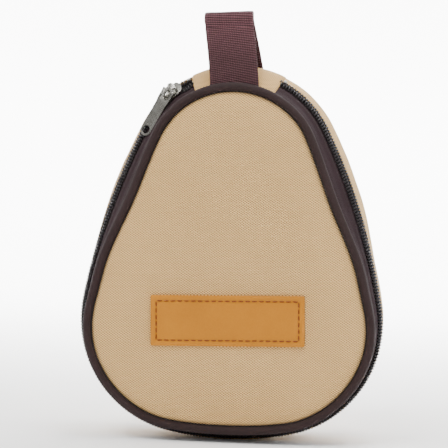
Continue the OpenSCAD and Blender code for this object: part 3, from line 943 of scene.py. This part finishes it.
def webbing_ring(index, place, normal, total):
    """Section of the strap: ribbed across, with round edges. The strap leans left and twists a little."""
    s = index * rib_pitch / rib_sections
    front_part = min(1, index / (total * 0.44))
    bow = 0.9 * math.sin(math.pi * front_part) if front_part < 1 else 0
    rise = min(1, max(0, (place.y - loop_low) / (loop_turn.y - loop_low)))
    skew = 0.22 - 0.13 * rise if front_part < 1 else 0.05
    columns = 40
    outer, inner, ribs = [], [], []
    for k in range(columns + 1):
        x = webbing_w * (k / columns - 0.5)
        crest = abs(math.sin(math.pi * (s + skew * x) / rib_pitch))
        edge = abs(x) > webbing_w / 2 - 1.4
        weave = 0.42 * (crest - 0.6) * (0.6 if edge else 1) + 0.05 * math.sin(2 * math.pi * x / warp_pitch)
        half = webbing_t / 2 + weave - (0.5 if k in (0, columns) else 0.1)
        shift = 0.3 * noise.noise((x * 0.09, s * 0.05, 2.0)) + bow
        side = x - 0.1 - loop_lean * rise ** 1.3 + (0 if front_part < 1 else 1.7 * (1 - rise))
        side *= 1 + 0.008 * math.sin(2 * math.pi * s / rib_pitch) * edge
        lift = 0.045 * x * rise
        for ring, sign in ((outer, 1), (inner, -1)):
            r = sign * half + shift
            ring.append((side * MM, (place.x + r * math.cos(normal)) * MM,
                         (place.y + r * math.sin(normal) + lift) * MM))
        ribs.append(crest)
    return outer + inner[::-1], ribs + ribs[::-1]


def ribbed_finish():
    """Dark gaps between the ribs, which lean with them, broken up by the columns of warp threads."""
    s = Shader("ribbed_webbing", 0.62)
    s.out.inputs["Sheen Weight"].default_value = 0.03
    gap = s.add("ShaderNodeAttribute", attribute_name="rib").outputs["Fac"]
    split = s.add("ShaderNodeSeparateXYZ", [s.place()])
    columns = s.maths("SINE", s.maths("MULTIPLY", split.outputs[1], 2 * math.pi / (warp_pitch * MM)))
    fibre = s.noise(s.place(), 2400, 2)
    height = s.maths("MULTIPLY_ADD", columns, 0.16, s.maths("MULTIPLY_ADD", fibre, 0.45, gap))
    level = s.add("ShaderNodeMapRange", [height, 0.15, 1.45, 0, 1]).outputs[0]
    dye = s.ramp(level, [(0.0, (0.006, 0.002, 0.0025)), (0.45, (0.05, 0.017, 0.020)),
                         (1.0, (0.15, 0.062, 0.068))])
    # Painted shade: the strap is darker towards its foot and paler at the top
    height_up = s.add("ShaderNodeSeparateXYZ", [s.place("Object")]).outputs[2]
    painted_low_shade = s.add("ShaderNodeMapRange", [height_up, 0.208, 0.226, 0, 1]).outputs[0]
    s.colour(s.blend(1.0, dye, s.ramp(painted_low_shade, [(0, (0.62, 0.62, 0.64)), (1, (0.95, 0.95, 1))]), "MULTIPLY"))
    s.bump(s.maths("MULTIPLY_ADD", columns, 0.3, fibre), 0.00014)
    return s.material


loop_points = loop_path()
loop_sections = [webbing_ring(k, p, a, len(loop_points)) for k, (p, a) in enumerate(loop_points)]
loop_strap = loft("hanging_loop_webbing", [ring for ring, ribs in loop_sections], False)
rib_crest = loop_strap.data.attributes.new("rib", "FLOAT", "POINT")
rib_crest.data.foreach_set("value", [crest for ring, ribs in loop_sections for crest in ribs])
placed(loop_strap, ribbed_finish(), "shell", "webbing_loop")

# ---- Bartacks ----------------------------------------------------------------------------
# Two bars of close zigzag stitches across the rear leg, where the strap is sewn to the bridge.
webbing_thread = Shader("webbing_thread", 0.5)
webbing_thread.colour(webbing_thread.ramp(webbing_thread.noise(webbing_thread.place("Object"), 2500, 1),
                                          [(0.3, (0.03, 0.013, 0.015)), (0.7, (0.11, 0.05, 0.055))]))


def thread_unit(length, radius, arch, steps=8):
    """One stitch: a short thread, along X, that dives at both ends."""
    sections = []
    for t in (k / steps for k in range(steps + 1)):
        place = Vector((length * (t - 0.5), 0, arch * math.sin(math.pi * t) - arch * 0.4))
        fat = radius * (0.45 + 0.55 * math.sin(math.pi * (t * 0.86 + 0.07)) ** 0.5)
        sections.append((place, Vector((0, 1, 0)), Vector((0, 0, 1)), fat))
    return tube("thread", sections, 8)


rear_angle = tangent_angle(loop_rear, 1)
rear_out = Vector((0, math.cos(rear_angle), math.sin(rear_angle)))
rear_up = Vector((0, -math.sin(rear_angle), math.cos(rear_angle)))
rear_frame = Matrix((rear_up, Vector((1, 0, 0)), rear_up.cross(Vector((1, 0, 0))))).transposed()
bartack_w = 22.0
bartack_n = 44
bartack_zigzag = 0.14
bartack_spots = []
for height in (207.8, 211.8):
    foot = Vector((0, loop_rear.x, loop_rear.y)) + rear_up * ((height - loop_rear.y) / rear_up.z)
    foot += rear_out * (webbing_t / 2 + 0.15)
    for k in range(bartack_n):
        x = bartack_w * (k / (bartack_n - 1) - 0.5)
        zigzag = Matrix.Rotation(bartack_zigzag * (1 if k % 2 else -1), 3, "Z")
        bartack_spots.append(((foot + Vector((x, 0, 0))) * MM, rear_frame @ zigzag))
bartacks = laid("rear_bartacks", bartack_spots, thread_unit(2.0, 0.24, -0.35), webbing_thread.material, 0.05)
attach(bartacks, "shell")
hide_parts("loop_bartacks")

# ---- Leather label -----------------------------------------------------------------------
# A rectangle of smooth orange-tan leather, 1.5 mm thick with cut edges, laid on the face and sewn
# down near its edge. The stitch line sinks a little into the leather. It carries no mark.
label_w = (label_high.x - label_low.x) / MM
label_h = (label_high.z - label_low.z) / MM
label_z = label_middle / MM
label_back = label_high.y / MM
stitch_inset = 3.1
corner_r = 1.0
label_skew = math.radians(1.4)


def on_label(x, z, rise):
    """Point in metres on the label, which is sewn on very slightly askew."""
    return ((x * math.cos(label_skew) - z * math.sin(label_skew)) * MM, (label_back - rise) * MM,
            (label_z + x * math.sin(label_skew) + z * math.cos(label_skew)) * MM)


def rounded_loop(w, h, r, per_corner=7, per_side=30):
    """A rounded rectangle of evenly placed points, anticlockwise from the lower right corner."""
    quarter = math.pi / 2
    corners = []
    for k, (sx, sz) in enumerate(((1, -1), (1, 1), (-1, 1), (-1, -1))):
        turns = [quarter * (k - 1 + j / per_corner) for j in range(per_corner + 1)]
        cx, cz = sx * (w / 2 - r), sz * (h / 2 - r)
        corners.append([(cx + r * math.cos(a), cz + r * math.sin(a)) for a in turns])
    points = []
    for k, corner in enumerate(corners):
        (x0, z0), (x1, z1) = corner[-1], corners[(k + 1) % 4][0]
        points += corner
        for f in (j / per_side for j in range(1, per_side)):
            points.append((x0 + (x1 - x0) * f, z0 + (z1 - z0) * f))
    return points


def label_rings():
    """Back, side, rounded shoulder, sunk stitch line and flat middle, as (inset, rise) in mm."""
    back_and_side = [(12.5, 0.0), (6, 0.0), (1.2, 0.0), (0.25, 0.0), (0.0, 0.2), (0.0, 1.1)]
    shoulder = [(0.12, 1.32), (0.4, 1.46), (0.9, 1.5), (1.8, 1.5)]
    stitch_line = [(2.4, 1.47), (2.8, 1.36), (3.1, 1.3), (3.4, 1.36), (3.9, 1.47)]
    middle = [(4.6, 1.5), (6, 1.5), (9, 1.5), (12.5, 1.5)]
    rings = []
    for inset, rise in back_and_side + shoulder + stitch_line + middle:
        ring = []
        for x, z in rounded_loop(label_w - 2 * inset, label_h - 2 * inset, max(corner_r - inset, 0.3)):
            wave = 0.07 * noise.noise((x * 0.09, z * 0.12, 5.0)) if rise > 1 else 0
            ring.append(on_label(x, z, rise + wave))
        rings.append(ring)
    return rings


def leather_finish():
    s = Shader("tan_leather", 0.52)
    s.out.inputs["Specular IOR Level"].default_value = 0.3
    place = s.place("Object")
    grain = s.add("ShaderNodeTexVoronoi", [place])
    grain.inputs["Scale"].default_value = 1500
    pores = s.noise(place, 900, 5)
    height = s.maths("MULTIPLY_ADD", grain.outputs[0], 0.5, pores)
    tone = s.ramp(s.noise(place, 45, 4), [(0.25, (0.38, 0.135, 0.0004)), (0.55, (0.42, 0.152, 0.0006)),
                                          (0.8, (0.45, 0.168, 0.001))])
    fine = s.ramp(s.noise(place, 1400, 3), [(0.3, (0.93, 0.92, 0.9)), (0.7, (1, 1, 1))])
    s.colour(s.blend(1.0, tone, fine, "MULTIPLY"))
    s.bump(height, 0.00008, 0.6)
    return s.material


label = loft("leather_label_tan", label_rings(), False, sharp=35)
placed(label, leather_finish(), "front_flap", "leather_label")

# ---- Label stitching ---------------------------------------------------------------------
# Waxed red-brown thread in a running lock stitch, 3.6 mm a stitch, all round the label.
label_thread = Shader("waxed_thread", 0.45)
twist = label_thread.add("ShaderNodeTexWave", [label_thread.place("Object")], bands_direction="DIAGONAL")
twist.inputs["Scale"].default_value = 900
label_thread.colour(label_thread.ramp(twist.outputs[0],
                                      [(0.2, (0.08, 0.02, 0.004)), (0.8, (0.24, 0.065, 0.012))]))
stitch_pitch = 3.6
stitch_rise = 1.42
label_out = Vector((0, -1, 0))
stitch_spots = []
for length, level, upright in ((label_w, label_h, False), (label_h, label_w, True)):
    run = length - 2 * stitch_inset
    count = round(run / stitch_pitch)
    forward = Vector((math.cos(label_skew), 0, math.sin(label_skew)))
    if upright:
        forward = label_out.cross(forward)
    turn = Matrix((forward, label_out.cross(forward), label_out)).transposed()
    for sign in (-1, 1):
        for k in range(count):
            s = run * ((k + 0.5) / count - 0.5)
            t = sign * (level / 2 - stitch_inset)
            x, z = (t, s) if upright else (s, t)
            stitch_spots.append((Vector(on_label(x, z, stitch_rise)), turn))
stitching = laid("label_stitches", stitch_spots, thread_unit(2.6, 0.36, 0.35), label_thread.material, 0.06)
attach(stitching, "front_flap")
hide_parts("label_stitching")

# ---- Slider, bail, pull tab and end stops ------------------------------------------------
# Die-cast zinc with a dark nickel finish. The slider straddles both rows of coil, the pull tab hangs
# from its bail on a bar, and a folded stop closes each end of the zip. Every edge is tumbled round.
nickel = Shader("dark_nickel", 0.28, 1.0)
nickel_place = nickel.place("Object")
nickel_grain = nickel.noise(nickel_place, 2200, 3)
nickel.colour(nickel.ramp(nickel.noise(nickel_place, 260, 3),
                          [(0.3, (0.27, 0.26, 0.235)), (0.7, (0.36, 0.35, 0.32))]))
nickel_rough = nickel.add("ShaderNodeMapRange", [nickel_grain, 0.2, 0.8, 0.22, 0.34]).outputs[0]
nickel.tree.links.new(nickel_rough, nickel.out.inputs["Roughness"])
nickel.bump(nickel_grain, 0.00001, 0.2)


def tumbled(node, name, body, edge):
    """A metal piece with the CAD node's shape and rounded edges."""
    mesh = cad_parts[node].data.copy()
    shape = bmesh.new()
    shape.from_mesh(mesh)
    bmesh.ops.remove_doubles(shape, verts=shape.verts, dist=1e-6)
    bmesh.ops.dissolve_limit(shape, angle_limit=math.radians(1), verts=shape.verts, edges=shape.edges)
    bmesh.ops.recalc_face_normals(shape, faces=shape.faces)
    shape.to_mesh(mesh)
    shape.free()
    mesh.materials.clear()
    piece = bpy.data.objects.new(name, mesh)
    bpy.context.collection.objects.link(piece)
    bevel = piece.modifiers.new("edge", "BEVEL")
    bevel.width = edge * MM
    bevel.segments = 3
    bevel.limit_method = "ANGLE"
    bevel.angle_limit = math.radians(28)
    bpy.context.view_layer.update()
    result = made_mesh(piece)
    piece.modifiers.clear()
    piece.data = result
    result.shade_smooth()
    result.set_sharp_from_angle(angle=math.radians(40))
    placed(piece, nickel.material, body, node)


tumbled("slider_body", "slider_casting", "zip_slider", 0.3)
tumbled("slider_bail", "slider_bail_arch", "zip_slider", 0.22)
tumbled("pull_tab", "pull_tab_plate", "zip_pull", 0.25)
tumbled("zip_end_stops", "end_stops", "shell", 0.15)
